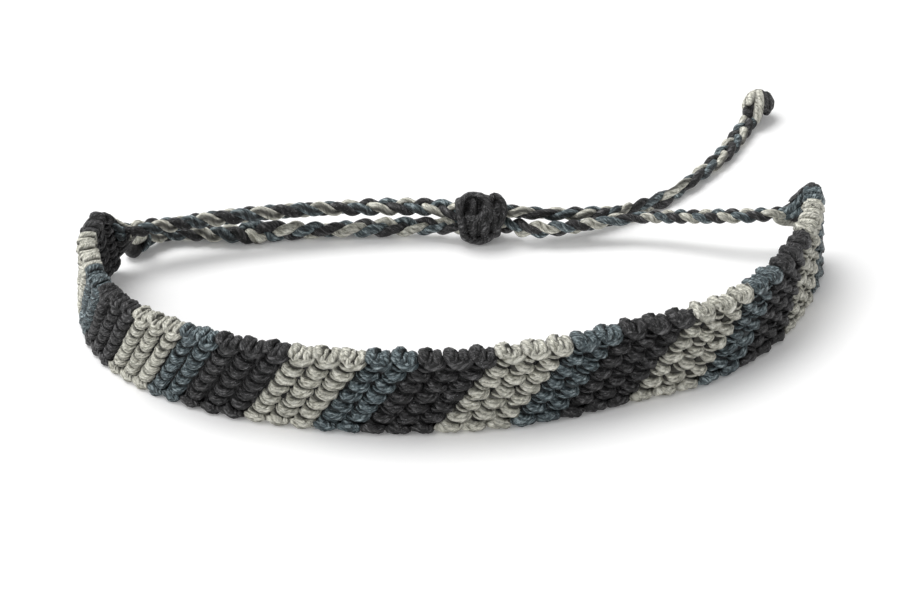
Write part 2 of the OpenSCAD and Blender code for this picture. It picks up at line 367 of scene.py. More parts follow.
def wound_place(points, width, thick, middle, blunt=6):
    """A place function for a cord that is wound over a rounded form with the given middle."""
    shaft = Line([Vector(point) for point in points], SHAFT_STEPS)

    def section(u):
        ahead = shaft.along(shaft.length * u, SHAFT_REACH)
        point = shaft.at(shaft.length * u)
        out = point - middle
        out = (out - ahead * out.dot(ahead)).normalized()
        swell = round_end(u, blunt)
        return point, ahead.cross(out) * width * swell, out * thick * swell

    return tube(section)


def lump_place(middle, reach, radius, blunt):
    """A place function for a lump of cord whose ends are at reach on both sides of its middle."""
    return wound_place([middle - reach, middle, middle + reach], radius, radius,
                       middle + UP * 9, blunt)


# Materials
def material_nodes(name):
    material = bpy.data.materials.new(name)
    material.use_nodes = True
    tree = material.node_tree
    return material, tree, tree.nodes["Principled BSDF"]


def math_node(tree, operation, first, second=0.0, third=0.0):
    node = tree.nodes.new("ShaderNodeMath")
    node.operation = operation
    for socket, value in zip(node.inputs, (first, second, third)):
        if isinstance(value, (int, float)):
            socket.default_value = value
        else:
            tree.links.new(value, socket)
    return node.outputs[0]


# How the fibres and the plies wind: repeats of their pattern in one round of the cord, and in a
# millimetre along it
FIBRE_WIND = (5.0, 1.6)
PLY_WIND = (6.0, 0.35)
FIBRE_STRETCH = 0.9
# How far the fibres push the grooves between the plies aside
PLY_WANDER = 1.3
# Lightness of the darkest cord, and how much more the lightest one has
TINT_LEAST = 0.89
TINT_RANGE = 0.22
# Painted shade in the creases between turns: how narrow it is, how dark, and how much darker
# on a turn's upper side, under the turn above, than in the mean
CREASE_SHARP = 2.2
CREASE_DARK = 0.62
CREASE_UPPER = 0.24
# Scales of the surface for each metre, and how much of the dust is too small to show
GRAIN_SCALE = 5200.0
PATCH_SCALE = 1500.0
DUST_SCALE = 9000.0
DUST_LIMIT = 0.73
DUST_COLOUR = (0.7, 0.72, 0.75, 1)


def cord_material(name, dark, middle, light, streak, speck, grit, roughness):
    """Twisted cord: fibres that run slantwise along it, each cord a little lighter or darker.
    streak is how softly its colours blend, speck how bright its specks of dust are, and grit
    how coarse its surface looks."""
    material, tree, shader = material_nodes(name)
    new, link = tree.nodes.new, tree.links.new

    def calc(operation, *values):
        return math_node(tree, operation, *values)

    def mottle(vector, scale, detail, rough=0.5):
        node = new("ShaderNodeTexNoise")
        node.inputs["Scale"].default_value = scale
        node.inputs["Detail"].default_value = detail
        node.inputs["Roughness"].default_value = rough
        link(vector, node.inputs["Vector"])
        return node.outputs["Fac"]

    def dimmed(value, pattern, much, least):
        """value times a number that the pattern raises from least."""
        return calc("MULTIPLY", value, calc("MULTIPLY_ADD", pattern, much, least))

    uv = new("ShaderNodeUVMap")
    uv.uv_map = "cord"
    parts = new("ShaderNodeSeparateXYZ")
    link(uv.outputs["UV"], parts.inputs[0])
    along, around = parts.outputs[0], parts.outputs[1]

    def winding(rounds, millimetres):
        return calc("MULTIPLY_ADD", around, rounds, calc("MULTIPLY", along, millimetres))

    strand = new("ShaderNodeCombineXYZ")
    link(calc("MULTIPLY", along, FIBRE_STRETCH), strand.inputs[0])
    link(winding(*FIBRE_WIND), strand.inputs[1])
    fibres = mottle(strand.outputs[0], 1.6, 5.0, 0.62)
    # Narrow grooves between the plies of the cord
    ply = calc("MULTIPLY_ADD", fibres, PLY_WANDER, winding(*PLY_WIND))
    ply = calc("ABSOLUTE", calc("SINE", calc("MULTIPLY", ply, math.pi)))
    ply = calc("POWER", ply, 0.5)
    ramp = new("ShaderNodeValToRGB")
    ramp.color_ramp.elements[0].position = 0.5 - streak
    ramp.color_ramp.elements[0].color = (*dark, 1)
    # The light end of the fibre colours is partly painted highlight, standing in for glints on the
    # wax
    ramp.color_ramp.elements[1].position = 0.5 + streak
    ramp.color_ramp.elements[1].color = (*light, 1)
    ramp.color_ramp.elements.new(0.5).color = (*middle, 1)
    link(fibres, ramp.inputs["Fac"])
    lightness = new("ShaderNodeTexWhiteNoise")
    lightness.noise_dimensions = "1D"
    link(calc("FLOOR", calc("DIVIDE", along, CORD_STEP)), lightness.inputs["W"])
    tint = new("ShaderNodeHueSaturation")
    link(calc("MULTIPLY_ADD", lightness.outputs["Value"], TINT_RANGE, TINT_LEAST),
         tint.inputs["Value"])
    link(ramp.outputs["Color"], tint.inputs["Color"])
    # Painted shade where one turn lies against the next, darkest on a turn's upper side
    edge = calc("SINE", calc("MULTIPLY", around, TURN))
    shade_depth = calc("MULTIPLY_ADD", edge, -CREASE_UPPER, -CREASE_DARK)
    edge = calc("POWER", calc("ABSOLUTE", edge), CREASE_SHARP)
    painted_shade_and_wear = calc("MULTIPLY_ADD", edge, shade_depth, 1.0)
    # Painted shade in the grooves between the plies
    painted_shade_and_wear = dimmed(painted_shade_and_wear, ply, 0.42, 0.7)
    spot = new("ShaderNodeTexCoord").outputs["Object"]
    grain = mottle(spot, GRAIN_SCALE, 3.0, 0.7)
    painted_shade_and_wear = dimmed(painted_shade_and_wear, grain, grit, 1 - grit / 2)
    # Broad uneven patches, where the wax has worn off or lies thicker
    patches = mottle(spot, PATCH_SCALE, 2.0)
    painted_shade_and_wear = dimmed(painted_shade_and_wear, patches, 0.9, 0.55)
    # The colour times the painted shade of creases and plies, the grain and the worn patches
    shaded_and_worn = new("ShaderNodeMix")
    shaded_and_worn.data_type = "RGBA"
    shaded_and_worn.blend_type = "MULTIPLY"
    shaded_and_worn.inputs["Factor"].default_value = 1.0
    link(tint.outputs["Color"], shaded_and_worn.inputs["A"])
    link(painted_shade_and_wear, shaded_and_worn.inputs["B"])
    dust = calc("GREATER_THAN", mottle(spot, DUST_SCALE, 1.0), DUST_LIMIT)
    speckled = new("ShaderNodeMix")
    speckled.data_type = "RGBA"
    link(calc("MULTIPLY", dust, speck), speckled.inputs["Factor"])
    link(shaded_and_worn.outputs["Result"], speckled.inputs["A"])
    speckled.inputs["B"].default_value = DUST_COLOUR
    link(speckled.outputs["Result"], shader.inputs["Base Color"])
    relief = calc("MULTIPLY_ADD", grain, 0.6, fibres)
    relief = calc("MULTIPLY_ADD", patches, 0.8, relief)
    bump = new("ShaderNodeBump")
    bump.inputs["Strength"].default_value = 0.9
    bump.inputs["Distance"].default_value = 0.00028
    link(calc("MULTIPLY_ADD", ply, 0.5, relief), bump.inputs["Height"])
    link(bump.outputs["Normal"], shader.inputs["Normal"])
    link(calc("MULTIPLY_ADD", fibres, 0.5, roughness - 0.25), shader.inputs["Roughness"])
    shader.inputs["Specular IOR Level"].default_value = 0.36
    return material


# Dark, middle and light fibre colours of each cord. The light ones are partly real lighter fibres
# and partly painted highlight
MATERIALS = {
    "grey": cord_material("grey cord", (0.25, 0.245, 0.195), (0.7, 0.69, 0.6),
                          (0.95, 0.94, 0.85), streak=0.15, speck=0.0, grit=1.0, roughness=0.55),
    "blue": cord_material("blue cord", (0.009, 0.015, 0.018), (0.094, 0.127, 0.14),
                          (0.5, 0.59, 0.615), streak=0.16, speck=0.3, grit=1.6, roughness=0.42),
    "black": cord_material("black cord", (0.004, 0.004, 0.004), (0.03, 0.0295, 0.0305),
                           (0.2, 0.198, 0.202), streak=0.17, speck=0.5, grit=1.7,
                           roughness=0.46),
}
SLOTS = {"grey": "grey_cord", "blue": "blue_cord", "black": "black_cord"}


# Band
ROW_SHADES = ("black", "black", "black", "grey", "grey", "grey", "blue", "blue")
# How far the knots at the top of a row stand past the loops of its upper edge
WRAP_LEAD = 0.9
# How much more steeply turns run on the inner face, in radians, and how boxy a turn is across
# the band: at 1 it would be round
INNER_TILT = 1.05
BOXINESS = 0.75


def row_shade(row):
    return ROW_SHADES[row % len(ROW_SHADES)]


def row_value(row, column):
    return lookup((row + 0.5) / ROWS, ROW_PLACES, column)


def row_along(row, height):
    """Distance along the band of a row's middle at a height."""
    slant = ROW_SLANT * row_value(row, SLANT_SHARE)
    middle = LENGTH * row_value(row, ALONG_SHARE)
    middle += LEFT_STOP * max(0.0, 1 - middle / STOP_LEN)
    middle -= RIGHT_STOP * max(0.0, 1 - (LENGTH - middle) / STOP_LEN)
    return middle + (height / BAND_H - 0.5) * slant + WRAP_LEAD * height / BAND_H


def row_pitch(row):
    low, high = max(row - 1, 0), min(row + 1, ROWS - 1)
    return LENGTH * (row_value(high, ALONG_SHARE) - row_value(low, ALONG_SHARE)) / (high - low)


def wrap_place(row, height, half, tilt, droop, depth, wide, thick, lift, pinch, shift):
    """One turn of cord round its row. half is how far it reaches to each side, tilt how far its
    right side is lower than its left, droop how far its front is lower than its sides, depth
    how far it reaches out of the band's middle, lift how far its lower edge stands out, pinch
    how much narrower it gets towards the next rows and shift how far it is moved along."""
    middle = row_along(row, height) + shift
    cos_lift, sin_lift = math.cos(lift), math.sin(lift)

    def place(u, v):
        side, front = math.cos(TURN * u), math.sin(TURN * u)
        angle = TURN * v
        # On the inner face the turns run steeply down along their row
        steep = max(0.0, -front) ** 2 * INNER_TILT
        cos_tilt, sin_tilt = math.cos(tilt + steep), math.sin(tilt + steep)
        broad = wide * (1 - pinch * side * side)
        proud = math.cos(angle) * thick * cos_lift - math.sin(angle) * broad * sin_lift
        rise = math.sin(angle) * broad * cos_lift + math.cos(angle) * thick * sin_lift
        across = side * (half + proud)
        out = math.copysign(abs(front) ** BOXINESS, front) * (depth + proud)
        up = rise - droop * abs(front)
        return on_band(middle + across * cos_tilt + up * sin_tilt,
                       height - across * sin_tilt + up * cos_tilt, out)

    return place


chance = random.Random(7)


def either_way(spread):
    return chance.uniform(-spread, spread)


KNOT_FOOT = 0.3
KNOT_RISE = (BAND_H - 1.0) / KNOTS_IN_ROW
# From one row on the knots get looser, and from another one on their turns lie more level. Both
# grow over a number of rows.
LOOSE_FROM, LOOSE_OVER = 14, 12
LEVEL_FROM, LEVEL_OVER = 34, 5
# The two turns of a knot: a number for the tight rows, and what the loose rows add to it. rise
# is a share of KNOT_RISE, and reach a share of the room that the turn has on its row.
KNOT_TURNS = {
    "narrow": {"rise": (-0.36, 0), "wide": (0.27, -0.05), "thick": (0.28, 0),
               "reach": (0.98, -0.08), "droop": (0.26, -0.16), "depth": (0.62, -0.06),
               "lift": (0.3, 0), "shift": (0, -0.1)},
    "broad": {"rise": (0.14, 0), "wide": (0.47, 0.13), "thick": (0.35, 0.04),
              "reach": (1.04, 0.1), "droop": (0.44, -0.16), "depth": (0.7, 0),
              "lift": (0.55, 0), "shift": (0, 0.06)}}
# What is added to a row's last broad turn, which hangs below the upper edge like a cup
CUP = {"height": 0.55, "wide": 0.1, "reach": 0.2, "tilt": -0.15, "droop": 0.36, "depth": 0.14}

row_cords = {shade: Cords(shade + "_knots", shade) for shade in SLOTS}
for row in range(ROWS):
    slope = math.atan2(ROW_SLANT * row_value(row, SLANT_SHARE) + WRAP_LEAD, BAND_H)
    loose = min(1.0, max(0.0, (row - LOOSE_FROM) / LOOSE_OVER))
    level = min(1.0, max(0.0, (row - LEVEL_FROM) / LEVEL_OVER))
    tilt = slope * (0.6 - 0.08 * loose - 0.28 * level)
    room = 0.5 * row_pitch(row) * math.cos(slope) / math.cos(slope - tilt)
    for knot in range(KNOTS_IN_ROW):
        for kind, turn in KNOT_TURNS.items():
            size = {key: tight + more * loose for key, (tight, more) in turn.items()}
            cup = 1.0 if kind == "broad" and knot == KNOTS_IN_ROW - 1 else 0.0
            height = KNOT_FOOT + (knot + 0.5) * KNOT_RISE + size["rise"] * KNOT_RISE
            height += either_way(0.06)
            wide = size["wide"] + either_way(0.03) + CUP["wide"] * cup
            thick = size["thick"] + either_way(0.03)
            reach = room * size["reach"] * (1 + CUP["reach"] * cup)
            row_cords[row_shade(row)].add(wrap_place(
                row, height + CUP["height"] * cup,
                half=reach - thick + chance.uniform(-0.1, 0.06),
                tilt=tilt + CUP["tilt"] * cup + either_way(0.12) * (1 + loose + 0.8 * level),
                droop=size["droop"] + CUP["droop"] * cup + either_way(0.07),
                depth=size["depth"] + CUP["depth"] * cup + either_way(0.06),
                wide=wide, thick=thick, lift=size["lift"] + either_way(0.2),
                pinch=0.3 - 0.1 * loose + 0.25 * level,
                shift=size["shift"] + either_way(0.06)), along=12, around=6, length=5.0)


def along_row(row):
    """Spot function in a row: distance beside its middle line, height, distance outwards."""
    return lambda p: on_band(row_along(row, p.y) + p.x, p.y, p.z)


def at_edge(row, height):
    """The same, beside one place of the edge."""
    middle = row_along(row, height) - WRAP_LEAD * height / BAND_H
    return lambda p: on_band(middle + p.x, p.y, p.z)


def over_edge(x_face, x_edge, face, edge, reach, up, sway):
    """Points of a loop over an edge of the band: its places beside the row on the faces and at
    the edge, how far its ends and its bend are from the edge, how far it stands out, whether
    the edge is the upper one, and how far the whole loop is pushed outwards."""
    rim = BAND_H if up else 0.0
    sign = -1 if up else 1
    half = [(x_face, rim + sign * face, reach * 0.6),
            (x_face * 0.8 + x_edge * 0.2, rim + sign * (face * 0.65 + edge * 0.35), reach),
            (x_face * 0.3 + x_edge * 0.7, rim + sign * (face * 0.2 + edge * 0.8), reach * 0.85),
            (x_edge, rim + sign * edge, reach * 0.4)]
    return [(x, height, out + sway) for x, height, out in half] + [
        (x, height, sway - out) for x, height, out in reversed(half)]


# The hidden cord of a row ends this far from the edges, and the loops are placed beside the row
# where it is this far from the edge
EDGE_INSET = 0.5
# Row pitch for which the loops' places and widths are given
LOOP_PITCH = 2.54
# Numbers of over_edge up to reach, then the loop's half width and half thickness. Over the upper
# edge run a broad loop, a narrow one that leans over it and a low one, each followed by what is
# added where the rows lump together.
UPPER_LOOPS = (
    ((-0.3, -0.3, 0.85, 0.47, 0.74, 0.6, 0.44), (0, 0, 0, 0, 0.12, 0.15, 0)),
    ((-0.05, 0.42, 1.05, 0.62, 0.92, 0.38, 0.32), (0, 0, 0, -0.1, 0, 0.18, 0.1)),
    ((0.95, 1.28, 1.05, 0.66, 0.78, 0.54, 0.4), (0, -0.1, 0, -0.1, 0.1, 0.1, 0)))
LOWER_LOOPS = (
    (-0.05, -0.2, 1.35, 0.5, 0.66, 0.98, 0.42), (0.6, 0.55, 1.2, 0.58, 0.72, 0.34, 0.34),
    (1.1, 1.0, 1.1, 0.56, 0.6, 0.46, 0.38))
# The first rows lump together at the upper edge, and the very first stand out less
LUMPED_ROWS = 11
SLIM_ROWS = 3

for row in range(ROWS):
    cords = row_cords[row_shade(row)]
    # The row's own cord inside it shows only in the gaps between turns, and is painted dark all
    # round there: painted shade
    core = [(0, height, 0) for height in (
        EDGE_INSET, 0.33 * BAND_H, 0.67 * BAND_H, BAND_H - EDGE_INSET)]
    cords.add(cord_place(core, 0.46 * row_pitch(row), 0.58, ALONG_X, along_row(row)),
              along=12, around=8, length=BAND_H, hidden=True)

    fit = row_pitch(row) / LOOP_PITCH
    lump = max(0.0, 1 - row / LUMPED_ROWS)
    slim = max(0.0, 1 - row / SLIM_ROWS)
    loops = [(True, [size + more * lump for size, more in zip(*loop)]) for loop in UPPER_LOOPS]
    if row > 0:
        loops += [(False, loop) for loop in LOWER_LOOPS]
    for up, (x_face, x_edge, face, edge, reach, width, thick) in loops:
        edge += chance.uniform(-0.1, 0.14) * (1 + lump)
        slip = either_way(0.18)
        reach += either_way(0.06)
        sway = 0.0
        if up:
            sway = chance.uniform(-0.35, 0.15) * lump - 0.35 * slim
            reach *= 1 - 0.38 * slim
        points = over_edge((x_face + slip) * fit, (x_edge - slip) * fit, face, edge, reach, up,
                           sway)
        cords.add(cord_place(points, width * fit + chance.uniform(-0.05, 0.04), thick, ALONG_X,
                             at_edge(row, BAND_H - EDGE_INSET if up else EDGE_INSET)),
                  along=9, around=8, length=5.0)

for cords in row_cords.values():
    cords.finish("band")

# The cords inside the band, as one flat core: where it starts and how much shorter than the
# band it is
INNER_START = 1.6
INNER_SHORTER = 2.2


def inner_place(u, v):
    height = 0.5 * BAND_H + 0.42 * BAND_H * math.cos(TURN * v)
    return on_band(INNER_START + (LENGTH - INNER_SHORTER) * u, height, 0.2 * math.sin(TURN * v))


inner = Cords("inner_cords", "black")
inner.add(inner_place, along=300, around=8, length=LENGTH)
inner.finish("band")


# Ties
LYING_W = (PLAIT_W - STRAND_D) / 2
LYING_T = (PLAIT_T - STRAND_D) / 2
# Where each strand starts in its plait's round, in degrees
START = {"black": 0.0, "grey": 120.0, "blue": 240.0}
# A tie's points have its turn as a fourth number, which centring leaves as it is
CENTRE_4D = Vector((CENTRE_X, CENTRE_Y, 0, 0))


def lying_height(turn):
    """Height of the middle of a tie that lies on the floor, with its flat side turned."""
    return (FIT_GAP / 2 + STRAND_D / 2 + LYING_W * math.cos(math.radians(turn))
            + LYING_T * math.sin(math.radians(turn)))


def tie_route(end, before, first_turn, held, slider_height, free, entry):
    """Points of a tie from the band, through the sliding knot, to its tail knot. The fourth
    number is the turn of its flat side away from upright, and entry says on which side of the
    sliding knot the tie goes in."""
    start = end + (end - before).normalized() * TIE_GAP
    way = [(x * HALF_W, y * LOOP_D, slider_height + up * (MID_Z - slider_height), turn)
           for x, y, up, turn in held]
    way += [(SLIDER_X + share * SLIDER_L / 2, SLIDER_Y, slider_height, 0)
            for share in (entry, 0, -entry)]
    for x, y, up, turn in free:
        low = lying_height(turn)
        way.append((x * HALF_W, y * LOOP_D, low + up * (slider_height - low), turn))
    return [Vector((start.x, start.y, MID_Z, first_turn))] + [
        Vector(point) - CENTRE_4D for point in way]


ends = band_line.points
left_tie = Line(tie_route(ends[0], ends[1], 0, LEFT_HELD, SLIDER_HIGH, LEFT_FREE, -1),
                steps=8)
right_tie = Line(tie_route(ends[-1], ends[-2], 60, RIGHT_HELD, SLIDER_LOW, RIGHT_FREE, 1),
                 steps=8)


# The plaits: distance along the tie, place in the plait's round in degrees, turn of its flat
# side, how far a strand swings across the width and the thickness, and a strand's radius
ROUND, FLAT_TURN, WIDE_SWING, THICK_SWING, RADIUS = 1, 2, 3, 4, 5
LEFT_PLAIT = [
    (-2.4, -2663, -95, 0.70, -0.3, 0.56), (2.6, -2312, -95, 0.70, -0.3, 0.56),
    (7.6, -1964, -95, 0.76, -0.34, 0.61), (12.6, -1672, -95, 0.80, -0.34, 0.63),
    (17.6, -1426, -95, 0.76, -0.34, 0.62), (22.6, -1176, -84, 0.70, -0.32, 0.58),
    (27.6, -916, -111, 0.66, -0.3, 0.56), (32.6, -654, -118, 0.66, -0.3, 0.54),
    (37.6, -373, -122, 0.64, -0.31, 0.50), (40.1, -225, -125, 0.64, -0.31, 0.50),
    (45.1, 225, -70, 0.60, 0.28, 0.50), (47.6, 364, -73, 0.60, 0.28, 0.50),
    (52.6, 576, -104, 0.60, 0.26, 0.50), (57.6, 827, -131, 0.60, 0.26, 0.50),
    (62.6, 1164, -109, 0.60, 0.26, 0.50), (67.6, 1334, -57, 0.60, 0.26, 0.50),
    (72.6, 1487, -134, 0.60, 0.26, 0.50), (77.6, 1691, -157, 0.60, 0.26, 0.50),
    (82.6, 1910, -154, 0.64, 0.3, 0.54), (87.6, 2176, -154, 0.64, 0.32, 0.56),
    (92.6, 2449, -154, 0.6, 0.3, 0.56)]
RIGHT_PLAIT = [
    (-3.4, -2594, -175, 0.5, 0.25, 0.5), (1.6, -2319, -175, 0.5, 0.25, 0.5),
    (6.6, -1977, -175, 0.48, 0.25, 0.49), (11.6, -1583, -175, 0.46, 0.25, 0.48),
    (16.6, -1197, -175, 0.44, 0.22, 0.46), (21.6, -993, -152, 0.62, 0.27, 0.50),
    (26.6, -676, -154, 0.66, 0.30, 0.50), (31.6, -410, -160, 0.66, 0.36, 0.50),
    (34.1, -272, -157, 0.66, 0.37, 0.50), (39.1, 199, -76, 0.65, -0.27, 0.50),
    (41.6, 336, -80, 0.68, -0.27, 0.50), (46.6, 574, -94, 0.74, -0.3, 0.57),
    (51.6, 809, -126, 0.8, -0.34, 0.61), (56.6, 1061, -173, 0.82, -0.34, 0.62),
    (61.6, 1324, -201, 0.9, -0.4, 0.66), (66.6, 1592, -321, 0.9, -0.42, 0.66),
    (71.6, 1862, -332, 0.78, -0.36, 0.6), (76.6, 2106, -334, 0.66, -0.32, 0.56),
    (81.6, 2425, -334, 0.66, -0.32, 0.58)]

# A strand's swing, and how much more steeply than a plain wave it crosses the plait's middle
SWING = 1.08
STEEPNESS = 0.13
# A strand's direction is taken from this far behind to this far ahead
STRAND_REACH = 0.15
# The strands run on into the band and into the tail knots
INTO_BAND = 0.6
INTO_KNOT = 1.0


class Plait:
    """Three strands on a tie, read by the distance along it."""

    def __init__(self, tie, table):
        self.tie = tie
        self.table = table

    def number(self, s, column):
        return lookup(s, self.table, column)

    def axes(self, s):
        """The plait's middle, and the ways of its width and its thickness."""
        along = self.tie.along(s, PLAIT_W / 2)
        across = UP.cross(along).normalized()
        upright = along.cross(across)
        turn = math.radians(self.tie.at(s)[3] + self.number(s, FLAT_TURN))
        wide = upright * math.cos(turn) + across * math.sin(turn)
        return Vector(self.tie.at(s)[:3]), wide, along.cross(wide)

    def strand_at(self, s, start):
        middle, wide, thick = self.axes(s)
        angle = math.radians(start + self.number(s, ROUND))
        sway = SWING * math.sin(angle) + STEEPNESS * math.sin(3 * angle)
        point = (middle + wide * self.number(s, WIDE_SWING) * sway
                 + thick * self.number(s, THICK_SWING) * math.sin(2 * angle))
        # Soft strands lie on the floor, not in it
        point.z = max(point.z, self.number(s, RADIUS) + UNEVEN / 2)
        return point

    def strand_place(self, start, first, last):
        """A place function for the strand that starts at an angle, between two distances."""

        def section(u):
            s = first + (last - first) * u
            ahead = self.strand_at(s + STRAND_REACH, start)
            ahead = (ahead - self.strand_at(s - STRAND_REACH, start)).normalized()
            wide = self.axes(s)[1]
            across = (wide - ahead * wide.dot(ahead)).normalized()
            radius = self.number(s, RADIUS)
            return self.strand_at(s, start), across * radius, ahead.cross(across) * radius

        return tube(section)


left_plait = Plait(left_tie, LEFT_PLAIT)
right_plait = Plait(right_tie, RIGHT_PLAIT)
for side, plait in (("left", left_plait), ("right", right_plait)):
    first, last = -INTO_BAND, plait.tie.length + INTO_KNOT
    for shade, start in START.items():
        strand = Cords(side + "_" + shade + "_strand", shade)
        strand.add(plait.strand_place(start, first, last), along=420, around=10,
                   length=last - first)
        strand.finish(side + "_tie_" + shade)


# Cords that leave the band's last rows and run into the strands of the ties: the cord's
# colour, where it starts as a height on the band and a distance outwards, its radius, and how
# low it hangs on its way
LEFT_GATHERED = [
    ("grey", 9.7, 0.7, 0.42, 0), ("black", 8.0, 0.3, 0.5, 0), ("blue", 8.4, -0.3, 0.5, 0),
    ("blue", 6.8, -0.6, 0.5, 0), ("black", 6.0, 0.0, 0.52, 0), ("black", 5.0, -0.5, 0.5, 0),
    ("blue", 4.2, 0.4, 0.42, 0), ("black", 3.4, -0.2, 0.5, 0), ("black", 2.0, 0.2, 0.5, 0),
    ("grey", 5.0, 0.6, 0.36, 0)]
RIGHT_GATHERED = [
    ("blue", 9.4, -0.5, 0.54, 1.2), ("black", 8.6, 0.4, 0.46, 1.1),
    ("blue", 6.8, -0.2, 0.5, 1.0), ("black", 5.0, 0.5, 0.46, 0.9),
    ("blue", 5.0, -0.7, 0.52, 1.3), ("black", 3.8, -0.6, 0.52, 1.5),
    ("grey", 2.6, -0.5, 0.5, 1.9), ("black", 2.4, 0.1, 0.4, 1.6)]


def gathered_cords(side, starts, plait, first, last, join):
    """first is where the cords start on the band, last where it ends, and join how far along
    the tie they end."""
    gathered = {}
    beside = plait.tie.along(1.0, 0.5).cross(UP)
    for shade, height, out, radius, sag in starts:
        if shade not in gathered:
            gathered[shade] = Cords(side + "_" + shade + "_gathered", shade)
        low = Vector((0, 0, -sag))
        route = [on_band(first, height, out),
                 on_band((first + last) / 2, height, out * 1.2) + low / 2,
                 on_band(last, height * 0.9 + 0.5, out * 1.1) + low,
                 plait.strand_at(0.18 * join, START[shade]) + low * 0.4,
                 plait.strand_at(0.57 * join, START[shade]),
                 plait.strand_at(join, START[shade])]
        gathered[shade].add(cord_place(route, radius, radius, beside, blunt=4),
                            along=24, around=8, length=7.0)
    for shade, cords in gathered.items():
        cords.finish(side + "_tie_" + shade)


gathered_cords("left", LEFT_GATHERED, left_plait, 2.2, 1.1, 2.8)
gathered_cords("right", RIGHT_GATHERED, right_plait, LENGTH - 4.4, LENGTH - 1.4, 1.5)


# Knots
# How square the sliding knot is across the ties: at 2 it would be round
SLIDER_SQUARE = 2.5
slider_middle = Vector((SLIDER_X, SLIDER_Y, (SLIDER_LOW + SLIDER_HIGH) / 2)) - CENTRE
slider_halves = (SLIDER_L / 2, SLIDER_DEPTH / 2, 3.0)


def slider_spot(shares):
    """The point at shares of the sliding knot's half sizes from its middle."""
    return slider_middle + Vector(a * b for a, b in zip(Vector(shares), slider_halves))


def slider_wrap(x, lean, width, thick, half_y, half_z):
    """One turn of cord round the two ties, whose top leans along them."""

    def place(u, v):
        c, s = math.cos(TURN * u), math.sin(TURN * u)
        k = (abs(c) ** SLIDER_SQUARE + abs(s) ** SLIDER_SQUARE) ** (-1 / SLIDER_SQUARE)
        out = Vector((0, c, s)).normalized()
        rim = Vector((x + lean * s, (half_y - thick) * c * k, (half_z - thick) * s * k))
        return (slider_middle + rim + ALONG_X * math.sin(TURN * v) * width
                + out * math.cos(TURN * v) * thick)

    return place


slider = Cords("sliding_knot_cord", "black")
# Numbers of slider_wrap for each turn. The last one is a flat core inside the others.
for wrap in ((-2.15, -0.3, 0.6, 0.52, 1.95, 2.62), (-0.85, 0.05, 0.56, 0.45, 2.1, 2.85),
             (0.6, 0.12, 0.66, 0.5, 2.15, 2.85), (1.9, 0.2, 0.7, 0.52, 1.95, 2.62),
             (-0.1, 0.0, 2.2, 0.25, 1.75, 2.4)):
    slider.add(slider_wrap(*wrap), along=28, around=10, length=17.0)
# Bars over the turns: a half width, and points as shares of the knot's half sizes. They are an
# arch with a bow below it and a bar through it, a loop with a bar, and a bow low down.
for size, points in (
        (0.56, [(-0.84, -0.9, 0.3), (-0.82, -0.7, 0.74), (-0.7, -0.3, 0.96), (-0.44, -0.1, 1.06),
                (-0.12, -0.1, 1.05), (0.16, -0.3, 1.0), (0.34, -0.6, 0.86), (0.4, -0.9, 0.5),
                (0.36, -1.0, 0.1)]),
        (0.44, [(-0.62, -0.9, 0.56), (-0.44, -1.02, 0.44), (-0.2, -1.06, 0.38),
                (0.04, -1.02, 0.46), (0.22, -0.9, 0.66), (0.3, -0.6, 0.9)]),
        (0.36, [(-0.3, -0.3, 1.0), (-0.26, -0.62, 0.88), (-0.3, -0.86, 0.7)]),
        (0.5, [(0.44, -0.45, 0.86), (0.52, -0.1, 1.0), (0.72, -0.05, 0.96), (0.92, -0.3, 0.8),
               (0.98, -0.6, 0.5), (0.86, -0.9, 0.2), (0.72, -1.0, -0.1)]),
        (0.36, [(0.5, -0.7, 0.74), (0.56, -0.92, 0.5), (0.66, -1.0, 0.2)]),
        (0.56, [(-0.84, -0.8, -0.3), (-0.62, -0.8, -0.58), (-0.3, -0.72, -0.74),
                (0.05, -0.72, -0.78), (0.35, -0.76, -0.62), (0.6, -0.85, -0.4)])):
    route = [slider_spot(point) for point in points]
    slider.add(wound_place(route, size, size * 0.85, slider_middle),
               along=20, around=10, length=6.0)
slider.finish("sliding_knot")


def tail_knot_frame(tie, length):
    """Middle and axes of the knot that a tie runs into: along, across and up."""
    end, before = tie.points[-1], tie.at(tie.length - 2.5)
    along = Vector((end[0] - before[0], end[1] - before[1], 0)).normalized()
    middle = Vector((end[0], end[1], 0)) + along * (length / 2 + TIE_GAP)
    return (middle + Vector((0, 0, KNOT_D / 2)), along * length / 2,
            Vector((-along.y, along.x, 0)) * KNOT_D / 2, Vector((0, 0, KNOT_D / 2)))


def tail_knot(side, tie, length, turns):
    """A knot of short turns of cord over a black core. Each turn has its colour, its half width
    and the directions that it passes, as shares of the half length along, half width and half
    height. A fourth number takes a point further out than the knot's own rounded form."""
    middle, along, across, up = tail_knot_frame(tie, length)
    knots = {"black": Cords(side + "_black_knot", "black")}
    knots["black"].add(lump_place(middle, along.normalized() * (length / 2 - 0.4), 1.25, 2.4),
                       along=16, around=12, length=6.0)
    for shade, size, points in turns:
        if shade not in knots:
            knots[shade] = Cords(side + "_" + shade + "_knot", shade)
        thick = size * 0.72
        route = []
        for a, b, c, *stretch in points:
            k = math.sqrt(a * a + b * b + c * c) / (stretch[0] if stretch else 1.0)
            point = (along * a + across * b + up * c) / k
            route.append(middle + point - point.normalized() * thick)
        knots[shade].add(wound_place(route, size, thick, middle, blunt=8),
                         along=20, around=10, length=6.0)
    for cords in knots.values():
        cords.finish(side + "_tail_knot")


